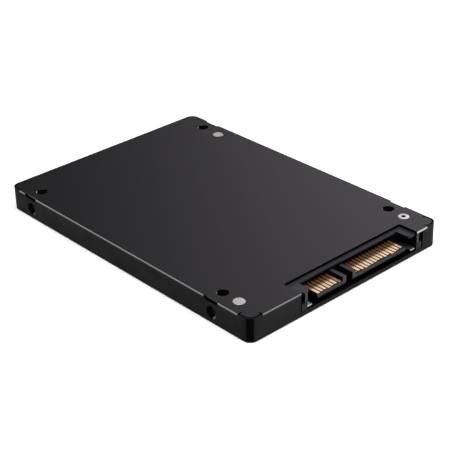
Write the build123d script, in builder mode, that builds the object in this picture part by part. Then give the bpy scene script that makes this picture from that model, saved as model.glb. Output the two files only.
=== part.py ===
"""2.5 inch solid state drive, 7 mm high, with a 22 position plug. One STEP file is written per piece.

Frame: X runs across the drive, Y along it with the plug at the -Y end, +Z up through the mounting face.
The origin is the middle of the label face, which lies on Z = 0. All sizes are in millimetres.
"""

import os

from build123d import *

os.makedirs("parts", exist_ok=True)

# ---------------------------------------------------------------- outside of the drive
WIDTH = 69.85
LENGTH = 100.2
HEIGHT = 7.0
CORNER_R = 2.4
SIDE = WIDTH / 2
FRONT = -LENGTH / 2
BACK = LENGTH / 2

# ---------------------------------------------------------------- case and cover plate
FLOOR = 0.9
WALL = 1.3
PLATE_T = 0.6
SEAT = HEIGHT - PLATE_T
BOTTOM_EDGE_R = 0.3
RIM_T = 0.25
RIM_REACH = 4.35
PLATE_CORNER_INSET = 0.6
PLATE_CORNER_REACH = 4.2
RELIEF_WIDTH = 0.4
RELIEF_DEPTH = 1.3
HOLE_ROLLOVER = 0.1

OPENING_LEFT = -17.5
OPENING_RIGHT = 28.9
CUTOUT_RIGHT = 26.4
CUTOUT_DEPTH = 6.2
CUTOUT_CORNER_R = 0.5
SILL_TOP = 1.3
SILL_T = 0.5

LABEL_WIDTH = 66.0
LABEL_LENGTH = 96.0
LABEL_T = 0.12
LABEL_CORNER_R = 1.5
LABEL_MARGIN = 0.15
LABEL_RECESS = 0.13

# ---------------------------------------------------------------- mounting holes, M3
MOUNT_X = 61.72 / 2
MOUNT_Y_FRONT = FRONT + 14.0
MOUNT_Y_BACK = FRONT + 90.6
M3_TAP_R = 1.25
M3_DEPTH = 3.2
M3_MOUTH_R = 1.55
PLATE_CLEARANCE_R = 1.6
SIDE_HOLE_Z = 3.0
SIDE_HOLE_DEPTH = 2.6
SIDE_HOLE_MOUTH_R = 1.9
SIDE_NOTCH_LENGTH = 5.3
SIDE_NOTCH_DEPTH = 0.5
SIDE_SKIN_T = 0.3
SIDE_SKIN_DROP = 0.5
SIDE_POCKET_LENGTH = 4.6
SIDE_POCKET_DEPTH = 1.3

# ---------------------------------------------------------------- screws, M2
SCREW_R = 0.95
SCREW_HOLE_R = 1.0
SCREW_HEAD_R = 1.62
SCREW_HEAD_TOP = HEIGHT - 0.1
SCREW_BOTTOM = 2.6
SCREW_HOLE_DEPTH = 4.0
SCREW_MOUTH_R = 1.3
PLATE_CONE_R = 1.76
PLATE_CONE_FOOT_R = 1.27
COVER_SCREW_X = 30.6
COVER_SCREWS = [(COVER_SCREW_X, -41.75), (-COVER_SCREW_X, -41.75), (COVER_SCREW_X, 33.3)]
SEALED_SCREWS = COVER_SCREWS[1:]
SEAL_R = 1.52
SEAL_T = 0.07
SEAL_DIMPLE_R = 0.5
SEAL_DIMPLE_DEPTH = 0.03
SOCKET_CORE_R = 0.5
SOCKET_LOBE_R = 0.16
SOCKET_DEPTH = 0.45

# ---------------------------------------------------------------- bosses: centre x, centre y, length along Y
BOSS_INNER = 27.6
BOSS_OUTER = SIDE - 0.2
BOSS_CORNER_R = 1.2
BOSSES = [(1, -38.95, 11.9), (-1, -38.95, 11.9), (1, 37.1, 13.0), (-1, 40.5, 6.4)]
BOSS_X = (BOSS_INNER + BOSS_OUTER) / 2
BOSS_WIDTH = BOSS_OUTER - BOSS_INNER

# ---------------------------------------------------------------- circuit board
BOARD_Z = 2.8
BOARD_T = 1.0
BOARD_TOP = BOARD_Z + BOARD_T
BOARD_WIDTH = 66.4
BOARD_FRONT = -43.1
BOARD_BACK = 48.3
BOARD_CORNER_R = 1.2
BOARD_GAP = 0.3
FRONT_STRIP = 4.0
BOARD_SCREWS = [(-30.0, 2.0), (30.0, 2.0), (0.0, 45.4), (-22.5, -40.3)]
BOARD_HOLE_R = 1.1
STANDOFF_R = 2.6
STANDOFF_HOLE_DEPTH = 1.7
BOARD_SCREW_HEAD_R = 1.6
BOARD_SCREW_HEAD_T = 0.8
BOARD_SCREW_BOTTOM = 1.4

# ---------------------------------------------------------------- 22 position plug
PLUG_X = 5.1
PITCH = 1.27
CONTACT_WIDTH = 0.84
CONTACT_T = 0.25
CONTACT_TOP = 4.15
FIRST_SIGNAL_X = PLUG_X - 15.875
FIRST_POWER_X = PLUG_X - 1.905
SIGNAL_XS = [FIRST_SIGNAL_X + PITCH * i for i in range(7)]
POWER_XS = [FIRST_POWER_X + PITCH * i for i in range(15)]
TIP_FIRST = -49.8
TIP_SECOND = -49.6
TIP_THIRD = -49.4
SIGNAL_TIPS = [TIP_FIRST if n in (1, 4, 7) else TIP_SECOND for n in range(1, 8)]
POWER_TIPS = [
    TIP_FIRST if n in (4, 12) else TIP_SECOND if n in (3, 5, 6, 7, 10, 13) else TIP_THIRD
    for n in range(1, 16)
]
CONTACT_REAR = -41.3
CONTACT_FOOT_LENGTH = 1.0
GROOVE_PLAY = 0.02

TONGUE_TIP = FRONT
TONGUE_BOTTOM = CONTACT_TOP - 1.23
TONGUE_TOP = CONTACT_TOP - 0.07
TONGUE_HALF_SPAN = 33.39 / 2
SIGNAL_TONGUE_WIDTH = 10.41
POWER_TONGUE_WIDTH = 20.57
TONGUE_CHAMFER = 0.22
KEY_WIDTH = 1.2
KEY_TOP = CONTACT_TOP + 1.1

WALL_BACK_Y = -43.3
WALL_FRONT_Y = -44.9
LEDGE_FRONT_Y = -45.15
LEDGE_BOTTOM = 5.75
HOUSING_BOTTOM = FLOOR + 0.05
HOUSING_TOP = SEAT - 0.2
HOUSING_HALF = 22.3
SLOT_BACK_Y = -43.7
SLOT_TOP = 5.6

# Ears: a wing at the top of each, a post at its tip and a step below, closing the opening at the side.
EARS = [(-1, PLUG_X - OPENING_LEFT), (1, OPENING_RIGHT - PLUG_X)]
EAR_TIP = -50.0
WING_BOTTOM = 5.2
WING_INNER = 18.6
WING_FRONT_Y = -49.4
WING_SIDE_Y = -49.0
WING_GAP = 0.3
POST_WIDTH = 0.85
POST_GAP = 1.55
STEP_GAP = 0.45
STEP_TOP = 3.5
STEP_BACK_Y = -46.0
ROOT_OUTER = 22.2
ROOT_INNER = 18.2
ROOT_BACK_Y = -39.8
PEG_R = 0.7
PEG_HOLE_R = 0.75
PEG_X = 20.2
PEG_Y = -41.4

TAB_WIDTH = 1.9
TAB_GAP = 0.1
TAB_T = 0.3
TAB_Z = 1.7
TAB_TIP = -49.6
TAB_RISER_Y = -42.8
TAB_FOOT_Y = -40.6

# ---------------------------------------------------------------- parts on the board: x, y, width, length
FLASH_SIZE = (14.0, 18.0, 1.1)
FLASH_CENTRES = [(-15.0, -5.0), (15.0, -5.0), (-15.0, 17.0), (15.0, 17.0)]
CONTROLLER_SIZE = (15.0, 15.0, 1.1)
CONTROLLER_AT = (4.0, -27.5)
MEMORY_SIZE = (8.0, 12.0, 0.95)
MEMORY_CENTRES = [(-11.5, -27.5), (19.5, -27.5)]
POWER_MANAGER_SIZE = (6.0, 6.0, 0.85)
POWER_MANAGER_AT = (-21.5, -28.5)
BOOT_FLASH_SIZE = (5.0, 6.0, 0.8)
BOOT_FLASH_AT = (28.6, -27.0)
FUSE_SIZE = (4.0, 4.0, 0.85)
FUSE_AT = (20.5, -37.6)
SENSOR_SIZE = (2.0, 3.0, 0.75)
SENSOR_AT = (0.0, -9.0)
CRYSTAL_SIZE = (3.2, 2.5, 0.7)
CRYSTAL_AT = (9.5, -38.2)
DIODE_SIZE = (2.6, 1.6, 0.9)
DIODE_CENTRES = [(-9.0, -38.6), (14.8, -38.4)]
INDUCTOR_SIZE = (4.2, 4.2, 1.8)
INDUCTOR_CENTRES = [(-29.8, -28.5), (-29.8, -22.5), (-21.5, -20.5), (-15.0, -37.3)]
HOLDUP_SIZE = (7.3, 4.3, 1.9)
HOLDUP_SPACING = (8.8, 5.4)
HOLDUP_COUNT = (6, 2)
HOLDUP_AT = (0.0, 35.6)
CERAMIC_SIZE = (1.0, 1.6, 0.8)
RESISTOR_SIZE = (0.5, 1.0, 0.35)

# How far a heat pad stays inside the outline of its package.
PAD_INSET = 0.5
PAD_CORNER_R = 0.4


def save(part, label):
    """Name one piece and write it to its STEP file."""
    part.label = label
    export_step(part, f"parts/{label}.step")


def package(centres, size, base_z, side, edge):
    """Flat moulded packages standing on one face of the board; side is +1 above it and -1 below it."""
    width, length, height = size
    grip = Align.MIN if side > 0 else Align.MAX
    far_end = -1 if side > 0 else 0
    with BuildPart(mode=Mode.PRIVATE) as one:
        Box(width, length, height, align=(Align.CENTER, Align.CENTER, grip))
        chamfer(one.faces().filter_by(Axis.Z).sort_by(Axis.Z)[far_end].edges(), length=edge)
    with Locations(*[(x, y, base_z) for x, y in centres]):
        add(one.part)


def bars(left, right, front, back, low, high, mode=Mode.ADD):
    """One block given by its six limits."""
    with Locations(((left + right) / 2, (front + back) / 2, (low + high) / 2)):
        Box(right - left, back - front, high - low, mode=mode)


def hand_bars(hand, inner, outer, front, back, low, high, mode=Mode.ADD):
    """A block on one hand of the plug, its inner and outer limits measured from the plug's middle."""
    ends = sorted((PLUG_X + hand * inner, PLUG_X + hand * outer))
    bars(ends[0], ends[1], front, back, low, high, mode)


def six_lobe():
    """Outline of a six lobed screw socket."""
    Circle(SOCKET_CORE_R)
    with PolarLocations(SOCKET_CORE_R + 0.05, 6):
        Circle(SOCKET_LOBE_R)


# ================================================================ base case
mount_points = [(x, y) for x in (-MOUNT_X, MOUNT_X) for y in (MOUNT_Y_FRONT, MOUNT_Y_BACK)]
side_holes = [
    Plane(origin=(hand * SIDE, y, SIDE_HOLE_Z), z_dir=(hand, 0, 0))
    for hand in (-1, 1)
    for y in (MOUNT_Y_FRONT, MOUNT_Y_BACK)
]

with BuildPart() as base_case:
    with BuildSketch():
        RectangleRounded(WIDTH, LENGTH, CORNER_R)
    extrude(amount=HEIGHT)
    fillet(base_case.faces().sort_by(Axis.Z)[0].edges(), radius=BOTTOM_EDGE_R)

    # Seat for the plate: only the four thin corner rims stay up to full height.
    with BuildSketch(Plane.XY.offset(SEAT)):
        Rectangle(WIDTH + 2, LENGTH - 2 * RIM_REACH)
        Rectangle(WIDTH - 2 * RIM_REACH, LENGTH + 2)
        RectangleRounded(WIDTH - 2 * RIM_T, LENGTH - 2 * RIM_T, CORNER_R - RIM_T)
    extrude(amount=PLATE_T, mode=Mode.SUBTRACT)

    # Hollow.
    with BuildSketch(Plane.XY.offset(FLOOR)):
        RectangleRounded(WIDTH - 2 * WALL, LENGTH - 2 * WALL, CORNER_R - WALL)
    extrude(amount=SEAT - FLOOR, mode=Mode.SUBTRACT)

    # Corner bosses, joined to the side walls, and stand-offs for the board.
    with BuildSketch(Plane.XY.offset(FLOOR)):
        for hand, y, boss_length in BOSSES:
            with Locations((hand * BOSS_X, y)):
                RectangleRounded(BOSS_WIDTH, boss_length, BOSS_CORNER_R)
    extrude(amount=SEAT - FLOOR)
    with BuildSketch(Plane.XY.offset(FLOOR)):
        with Locations(*BOARD_SCREWS):
            Circle(STANDOFF_R)
    extrude(amount=BOARD_Z - FLOOR)
    with Locations(*[(x, y, BOARD_Z) for x, y in BOARD_SCREWS]):
        Hole(SCREW_HOLE_R, depth=STANDOFF_HOLE_DEPTH)

    # Opening for the plug in the front wall.
    bars(OPENING_LEFT, OPENING_RIGHT, FRONT - 1, FRONT + SILL_T, SILL_TOP, HEIGHT + 1, Mode.SUBTRACT)
    bars(OPENING_LEFT, OPENING_RIGHT, FRONT + SILL_T, FRONT + WALL + 0.2, FLOOR, HEIGHT + 1, Mode.SUBTRACT)

    # Mounting holes, the cover screws' holes and the pockets beside the side holes.
    with Locations(*[(x, y, SEAT) for x, y in mount_points]):
        CounterSinkHole(M3_TAP_R, M3_MOUTH_R, depth=M3_DEPTH, counter_sink_angle=90)
    with Locations(*side_holes):
        CounterSinkHole(M3_TAP_R, SIDE_HOLE_MOUTH_R, depth=SIDE_HOLE_DEPTH, counter_sink_angle=90)
    with Locations(*[(x, y, SEAT) for x, y in COVER_SCREWS]):
        CounterSinkHole(SCREW_HOLE_R, SCREW_MOUTH_R, depth=SCREW_HOLE_DEPTH, counter_sink_angle=90)
    for hand in (-1, 1):
        for y in (MOUNT_Y_FRONT, MOUNT_Y_BACK):
            front = y - SIDE_POCKET_LENGTH / 2
            back = y + SIDE_POCKET_LENGTH / 2
            deep, skin, outside = sorted((SIDE - WALL, SIDE - SIDE_SKIN_T, SIDE + 1))
            for inner, outer, drop in ((deep, skin, SIDE_POCKET_DEPTH), (skin, outside, SIDE_SKIN_DROP)):
                left, right = sorted((hand * inner, hand * outer))
                bars(left, right, front, back, SEAT - drop, SEAT, Mode.SUBTRACT)

    # Shallow recess for the label.
    with BuildSketch():
        RectangleRounded(
            LABEL_WIDTH + 2 * LABEL_MARGIN,
            LABEL_LENGTH + 2 * LABEL_MARGIN,
            LABEL_CORNER_R + LABEL_MARGIN,
        )
    extrude(amount=LABEL_RECESS, mode=Mode.SUBTRACT)
save(base_case.part, "base_case")

# ================================================================ label
with BuildPart() as label:
    with BuildSketch():
        RectangleRounded(LABEL_WIDTH, LABEL_LENGTH, LABEL_CORNER_R)
    extrude(amount=LABEL_T)
save(label.part, "label")

# ================================================================ cover plate
relief_offset = SIDE - PLATE_CORNER_REACH
relief_offset_y = BACK - PLATE_CORNER_REACH
cutout_width = CUTOUT_RIGHT - OPENING_LEFT

with BuildPart() as cover_plate:
    with BuildSketch(Plane.XY.offset(SEAT)):
        Rectangle(WIDTH, LENGTH - 2 * PLATE_CORNER_REACH)
        Rectangle(WIDTH - 2 * PLATE_CORNER_REACH, LENGTH)
        RectangleRounded(
            WIDTH - 2 * PLATE_CORNER_INSET,
            LENGTH - 2 * PLATE_CORNER_INSET,
            CORNER_R - PLATE_CORNER_INSET,
        )
        # Relief notches where the straight edges meet the corners.
        with GridLocations(2 * relief_offset, LENGTH, 2, 2):
            Rectangle(RELIEF_WIDTH, 2 * RELIEF_DEPTH, mode=Mode.SUBTRACT)
        with GridLocations(WIDTH, 2 * relief_offset_y, 2, 2):
            Rectangle(2 * RELIEF_DEPTH, RELIEF_WIDTH, mode=Mode.SUBTRACT)
        # Notches above the side holes.
        with Locations(*[(hand * SIDE, y) for hand in (-1, 1) for y in (MOUNT_Y_FRONT, MOUNT_Y_BACK)]):
            RectangleRounded(2 * SIDE_NOTCH_DEPTH, SIDE_NOTCH_LENGTH, 0.3, mode=Mode.SUBTRACT)
        # Cut-out over the plug, open to the front edge.
        with Locations(((CUTOUT_RIGHT + OPENING_LEFT) / 2, FRONT)):
            RectangleRounded(cutout_width, 2 * CUTOUT_DEPTH, CUTOUT_CORNER_R, mode=Mode.SUBTRACT)
        with Locations(*mount_points):
            Circle(PLATE_CLEARANCE_R, mode=Mode.SUBTRACT)
    extrude(amount=PLATE_T)
    clearance_rims = cover_plate.edges().filter_by(GeomType.CIRCLE).group_by(Axis.Z)[-1]
    fillet(
        clearance_rims.filter_by(lambda rim: abs(rim.radius - PLATE_CLEARANCE_R) < 0.001),
        radius=HOLE_ROLLOVER,
    )
    with Locations(*[(x, y, HEIGHT) for x, y in COVER_SCREWS]):
        CounterSinkHole(PLATE_CONE_FOOT_R, PLATE_CONE_R, depth=PLATE_T + 1, counter_sink_angle=90)
save(cover_plate.part, "cover_plate")

# ================================================================ cover screws and their seals
head_height = SCREW_HEAD_R - SCREW_R

with BuildPart() as cover_screws:
    with Locations(*[(x, y, SCREW_HEAD_TOP) for x, y in COVER_SCREWS]):
        Cone(SCREW_R, SCREW_HEAD_R, head_height, align=(Align.CENTER, Align.CENTER, Align.MAX))
        Cylinder(
            SCREW_R,
            SCREW_HEAD_TOP - SCREW_BOTTOM,
            align=(Align.CENTER, Align.CENTER, Align.MAX),
        )
    chamfer(cover_screws.edges().group_by(Axis.Z)[0], length=0.3)
    with BuildSketch(Plane.XY.offset(SCREW_HEAD_TOP)):
        with Locations(*COVER_SCREWS):
            six_lobe()
    extrude(amount=-SOCKET_DEPTH, mode=Mode.SUBTRACT)
save(cover_screws.part, "cover_screws")

with BuildPart() as screw_seals:
    with BuildSketch(Plane.XY.offset(SCREW_HEAD_TOP)):
        with Locations(*SEALED_SCREWS):
            Circle(SEAL_R)
    extrude(amount=SEAL_T)
    with BuildSketch(Plane.XY.offset(SCREW_HEAD_TOP + SEAL_T)):
        with Locations(*SEALED_SCREWS):
            Circle(SEAL_DIMPLE_R)
    extrude(amount=-SEAL_DIMPLE_DEPTH, mode=Mode.SUBTRACT)
save(screw_seals.part, "screw_seals")

# ================================================================ circuit board and its screws
with BuildPart() as circuit_board:
    with BuildSketch(Plane.XY.offset(BOARD_Z)):
        with Locations((0, (BOARD_FRONT + BOARD_BACK) / 2)):
            RectangleRounded(BOARD_WIDTH, BOARD_BACK - BOARD_FRONT, BOARD_CORNER_R)
        for hand, y, boss_length in BOSSES:
            with Locations((hand * BOSS_X, y)):
                RectangleRounded(
                    BOSS_WIDTH + 2 * BOARD_GAP,
                    boss_length + 2 * BOARD_GAP,
                    BOSS_CORNER_R + BOARD_GAP,
                    mode=Mode.SUBTRACT,
                )
        # The strips left in front of the two front bosses are cut away.
        with Locations((-BOSS_X, BOARD_FRONT), (BOSS_X, BOARD_FRONT)):
            Rectangle(BOSS_WIDTH + 2 * BOARD_GAP, FRONT_STRIP, mode=Mode.SUBTRACT)
        with Locations(*BOARD_SCREWS):
            Circle(BOARD_HOLE_R, mode=Mode.SUBTRACT)
        with Locations((PLUG_X - PEG_X, PEG_Y), (PLUG_X + PEG_X, PEG_Y)):
            Circle(PEG_HOLE_R, mode=Mode.SUBTRACT)
    extrude(amount=BOARD_T)
save(circuit_board.part, "circuit_board")

with BuildPart() as board_screws:
    with Locations(*[(x, y, BOARD_TOP) for x, y in BOARD_SCREWS]):
        Cylinder(
            BOARD_SCREW_HEAD_R,
            BOARD_SCREW_HEAD_T,
            align=(Align.CENTER, Align.CENTER, Align.MIN),
        )
    fillet(board_screws.edges().group_by(Axis.Z)[-1], radius=0.3)
    with Locations(*[(x, y, BOARD_TOP) for x, y in BOARD_SCREWS]):
        Cylinder(
            SCREW_R,
            BOARD_TOP - BOARD_SCREW_BOTTOM,
            align=(Align.CENTER, Align.CENTER, Align.MAX),
        )
    chamfer(board_screws.edges().group_by(Axis.Z)[0], length=0.3)
    with BuildSketch(Plane.XY.offset(BOARD_TOP + BOARD_SCREW_HEAD_T)):
        with Locations(*BOARD_SCREWS):
            six_lobe()
    extrude(amount=-SOCKET_DEPTH, mode=Mode.SUBTRACT)
save(board_screws.part, "board_screws")

# ================================================================ plug housing
signal_left = PLUG_X - TONGUE_HALF_SPAN
signal_right = signal_left + SIGNAL_TONGUE_WIDTH
power_right = PLUG_X + TONGUE_HALF_SPAN
power_left = power_right - POWER_TONGUE_WIDTH

with BuildPart() as connector_housing:
    # Both tongues; only their tips are chamfered.
    bars(signal_left, signal_right, TONGUE_TIP, WALL_FRONT_Y, TONGUE_BOTTOM, TONGUE_TOP)
    bars(power_left, power_right, TONGUE_TIP, WALL_FRONT_Y, TONGUE_BOTTOM, TONGUE_TOP)
    tip_edges = connector_housing.faces().filter_by(Axis.Y).group_by(Axis.Y)[0].edges()
    chamfer(tip_edges.filter_by(Axis.X), length=TONGUE_CHAMFER)
    # The key of each tongue stands up at the end beside the gap.
    bars(signal_right - KEY_WIDTH, signal_right, TONGUE_TIP, WALL_FRONT_Y, TONGUE_TOP - 0.3, KEY_TOP)
    bars(power_left, power_left + KEY_WIDTH, TONGUE_TIP, WALL_FRONT_Y, TONGUE_TOP - 0.3, KEY_TOP)

    # Back wall with a narrow ledge along its top.
    left, right = PLUG_X - HOUSING_HALF, PLUG_X + HOUSING_HALF
    bars(left, right, WALL_FRONT_Y, WALL_BACK_Y, HOUSING_BOTTOM, HOUSING_TOP)
    bars(left, right, LEDGE_FRONT_Y, WALL_FRONT_Y, LEDGE_BOTTOM, HOUSING_TOP)

    for hand, reach in EARS:
        post_outer = reach - POST_GAP
        post_inner = post_outer - POST_WIDTH
        # Wing at the top, rounded into the post, which reaches further forward than it.
        corners = [
            (WING_INNER, WALL_FRONT_Y),
            (WING_INNER, WING_FRONT_Y + 1.0),
            (WING_INNER + 0.35, WING_FRONT_Y + 0.4),
            (WING_INNER + 1.0, WING_FRONT_Y),
            (post_inner, WING_FRONT_Y),
            (post_inner, EAR_TIP),
            (post_outer, EAR_TIP),
            (post_outer, WING_SIDE_Y),
            (reach - WING_GAP, WING_SIDE_Y),
            (reach - WING_GAP, WALL_FRONT_Y),
        ]
        outline = [(PLUG_X + hand * x, y) for x, y in corners][::-hand]
        with BuildSketch(Plane.XY.offset(WING_BOTTOM)):
            with BuildLine():
                Polyline(*outline, close=True)
            make_face()
        extrude(amount=HOUSING_TOP - WING_BOTTOM)
        hand_bars(hand, post_inner, post_outer, EAR_TIP, WALL_FRONT_Y, STEP_TOP - 0.3, HOUSING_TOP)
        hand_bars(hand, post_inner, reach - STEP_GAP, EAR_TIP, STEP_BACK_Y, SILL_TOP, STEP_TOP)
        # Root over the board, with a peg into it.
        hand_bars(hand, ROOT_INNER, ROOT_OUTER, WALL_BACK_Y, ROOT_BACK_Y, BOARD_TOP, HOUSING_TOP)
        with Locations((PLUG_X + hand * PEG_X, PEG_Y, BOARD_TOP)):
            Cylinder(PEG_R, BOARD_T - 0.1, align=(Align.CENTER, Align.CENTER, Align.MAX))
        # Slot for the hold-down tab.
        slot_outer = post_inner - TAB_GAP + 0.05
        slot_inner = slot_outer - TAB_WIDTH - 0.1
        slot_low, slot_high = TAB_Z - 0.05, TAB_Z + TAB_T + 0.05
        hand_bars(
            hand, slot_inner, slot_outer, WALL_FRONT_Y, WALL_BACK_Y, slot_low, slot_high, Mode.SUBTRACT
        )

    # Grooves that hold the contacts, and the slots above them in the back wall.
    for x, tip in zip(SIGNAL_XS + POWER_XS, SIGNAL_TIPS + POWER_TIPS):
        half = CONTACT_WIDTH / 2 + GROOVE_PLAY
        bars(
            x - half,
            x + half,
            tip - GROOVE_PLAY,
            WALL_BACK_Y,
            CONTACT_TOP - CONTACT_T - GROOVE_PLAY,
            CONTACT_TOP + GROOVE_PLAY,
            Mode.SUBTRACT,
        )
        bars(
            x - CONTACT_WIDTH / 2,
            x + CONTACT_WIDTH / 2,
            WALL_FRONT_Y,
            SLOT_BACK_Y,
            CONTACT_TOP,
            SLOT_TOP,
            Mode.SUBTRACT,
        )
save(connector_housing.part, "connector_housing")


def contact_row(xs, tips):
    """Contact strips lying in the tongue, each ending in a soldered foot on the board."""
    for x, tip in zip(xs, tips):
        left = x - CONTACT_WIDTH / 2
        right = x + CONTACT_WIDTH / 2
        foot_front = CONTACT_REAR - CONTACT_FOOT_LENGTH
        bars(left, right, tip, CONTACT_REAR, CONTACT_TOP - CONTACT_T, CONTACT_TOP)
        bars(left, right, foot_front, CONTACT_REAR, BOARD_TOP, CONTACT_TOP - CONTACT_T)


with BuildPart() as signal_contacts:
    contact_row(SIGNAL_XS, SIGNAL_TIPS)
save(signal_contacts.part, "signal_contacts")

with BuildPart() as power_contacts:
    contact_row(POWER_XS, POWER_TIPS)
save(power_contacts.part, "power_contacts")

with BuildPart() as connector_tabs:
    for hand, reach in EARS:
        outer = reach - POST_GAP - POST_WIDTH - TAB_GAP
        inner = outer - TAB_WIDTH
        hand_bars(hand, inner, outer, TAB_TIP, TAB_RISER_Y, TAB_Z, TAB_Z + TAB_T)
        hand_bars(hand, inner, outer, TAB_RISER_Y - TAB_T, TAB_RISER_Y, TAB_Z, BOARD_Z)
        hand_bars(hand, inner, outer, TAB_RISER_Y, TAB_FOOT_Y, BOARD_Z - TAB_T, BOARD_Z)
save(connector_tabs.part, "connector_tabs")

# ================================================================ packages on the board
with BuildPart() as controller_chip:
    package([CONTROLLER_AT], CONTROLLER_SIZE, BOARD_TOP, 1, 0.08)
save(controller_chip.part, "controller_chip")

with BuildPart() as memory_chips:
    package(MEMORY_CENTRES, MEMORY_SIZE, BOARD_TOP, 1, 0.06)
save(memory_chips.part, "memory_chips")

with BuildPart() as flash_chips_upper:
    package(FLASH_CENTRES, FLASH_SIZE, BOARD_TOP, 1, 0.08)
save(flash_chips_upper.part, "flash_chips_upper")

with BuildPart() as flash_chips_lower:
    package(FLASH_CENTRES, FLASH_SIZE, BOARD_Z, -1, 0.08)
save(flash_chips_lower.part, "flash_chips_lower")

with BuildPart() as power_manager_chip:
    package([POWER_MANAGER_AT], POWER_MANAGER_SIZE, BOARD_TOP, 1, 0.05)
save(power_manager_chip.part, "power_manager_chip")

with BuildPart() as boot_flash_chip:
    package([BOOT_FLASH_AT], BOOT_FLASH_SIZE, BOARD_TOP, 1, 0.05)
save(boot_flash_chip.part, "boot_flash_chip")

with BuildPart() as input_fuse_chip:
    package([FUSE_AT], FUSE_SIZE, BOARD_TOP, 1, 0.05)
save(input_fuse_chip.part, "input_fuse_chip")

with BuildPart() as temperature_sensor:
    package([SENSOR_AT], SENSOR_SIZE, BOARD_TOP, 1, 0.05)
save(temperature_sensor.part, "temperature_sensor")

with BuildPart() as clock_crystal:
    package([CRYSTAL_AT], CRYSTAL_SIZE, BOARD_TOP, 1, 0.12)
save(clock_crystal.part, "clock_crystal")

with BuildPart() as surge_diodes:
    package(DIODE_CENTRES, DIODE_SIZE, BOARD_TOP, 1, 0.12)
save(surge_diodes.part, "surge_diodes")

with BuildPart() as power_inductors:
    package(INDUCTOR_CENTRES, INDUCTOR_SIZE, BOARD_TOP, 1, 0.25)
    chamfer(power_inductors.edges().filter_by(Axis.Z), length=0.4)
save(power_inductors.part, "power_inductors")

holdup_x, holdup_y, holdup_height = HOLDUP_SIZE
with BuildPart() as holdup_capacitors:
    with Locations((*HOLDUP_AT, BOARD_TOP)):
        with GridLocations(*HOLDUP_SPACING, *HOLDUP_COUNT):
            Box(holdup_x, holdup_y, holdup_height, align=(Align.CENTER, Align.CENTER, Align.MIN))
    chamfer(holdup_capacitors.faces().group_by(Axis.Z)[-1].edges(), length=0.2)
save(holdup_capacitors.part, "holdup_capacitors")

# Decoupling capacitors stand in rows beside the packages they serve; resistors stand in shorter rows.
CERAMIC_ROWS = [
    ((0.0, 6.0), (2.6, 0.0), (19, 1)),
    ((0.0, 29.6), (3.0, 0.0), (15, 1)),
    ((0.0, 17.0), (2.4, 3.0), (3, 5)),
    ((4.0, -17.3), (2.2, 0.0), (8, 1)),
    ((27.6, -8.0), (2.4, 3.2), (2, 4)),
    ((-27.6, -8.0), (2.4, 3.2), (2, 4)),
    ((27.6, 17.0), (2.4, 3.2), (2, 5)),
    ((-27.6, 17.0), (2.4, 3.2), (2, 5)),
    ((-17.6, -14.9), (1.8, 0.0), (5, 1)),
]
RESISTOR_ROWS = [
    ((-2.0, -38.4), (1.1, 2.0), (7, 2)),
    ((12.9, -27.5), (0.0, 1.8), (1, 8)),
    ((-5.6, -27.5), (0.0, 1.8), (1, 8)),
    ((25.0, -18.0), (1.1, 2.2), (7, 2)),
    ((24.6, -27.5), (0.0, 1.8), (1, 6)),
    ((-8.6, 45.4), (1.2, 2.2), (6, 2)),
    ((8.6, 45.4), (1.2, 2.2), (6, 2)),
]


def rows_of(rows, size):
    """Small two ended components in grids: centre, spacing and count for each grid."""
    for centre, spacing, count in rows:
        with Locations((*centre, BOARD_TOP)):
            with GridLocations(*spacing, *count):
                Box(*size, align=(Align.CENTER, Align.CENTER, Align.MIN))


with BuildPart() as ceramic_capacitors:
    rows_of(CERAMIC_ROWS, CERAMIC_SIZE)
save(ceramic_capacitors.part, "ceramic_capacitors")

with BuildPart() as chip_resistors:
    rows_of(RESISTOR_ROWS, RESISTOR_SIZE)
save(chip_resistors.part, "chip_resistors")

# ================================================================ heat pads
flash_width, flash_length, flash_height = FLASH_SIZE
pad_width = flash_width - 2 * PAD_INSET
pad_length = flash_length - 2 * PAD_INSET

with BuildPart() as flash_heat_pads_upper:
    with BuildSketch(Plane.XY.offset(BOARD_TOP + flash_height)):
        with Locations(*FLASH_CENTRES):
            RectangleRounded(pad_width, pad_length, PAD_CORNER_R)
    extrude(amount=SEAT - BOARD_TOP - flash_height)
save(flash_heat_pads_upper.part, "flash_heat_pads_upper")

with BuildPart() as flash_heat_pads_lower:
    with BuildSketch(Plane.XY.offset(FLOOR)):
        with Locations(*FLASH_CENTRES):
            RectangleRounded(pad_width, pad_length, PAD_CORNER_R)
    extrude(amount=BOARD_Z - flash_height - FLOOR)
save(flash_heat_pads_lower.part, "flash_heat_pads_lower")

controller_width, controller_length, controller_height = CONTROLLER_SIZE
with BuildPart() as controller_heat_pad:
    with BuildSketch(Plane.XY.offset(BOARD_TOP + controller_height)):
        with Locations(CONTROLLER_AT):
            RectangleRounded(
                controller_width - 2 * PAD_INSET,
                controller_length - 2 * PAD_INSET,
                PAD_CORNER_R,
            )
    extrude(amount=SEAT - BOARD_TOP - controller_height)
save(controller_heat_pad.part, "controller_heat_pad")
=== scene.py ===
import math

import bmesh
import bpy
from mathutils import Matrix, Vector


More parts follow.
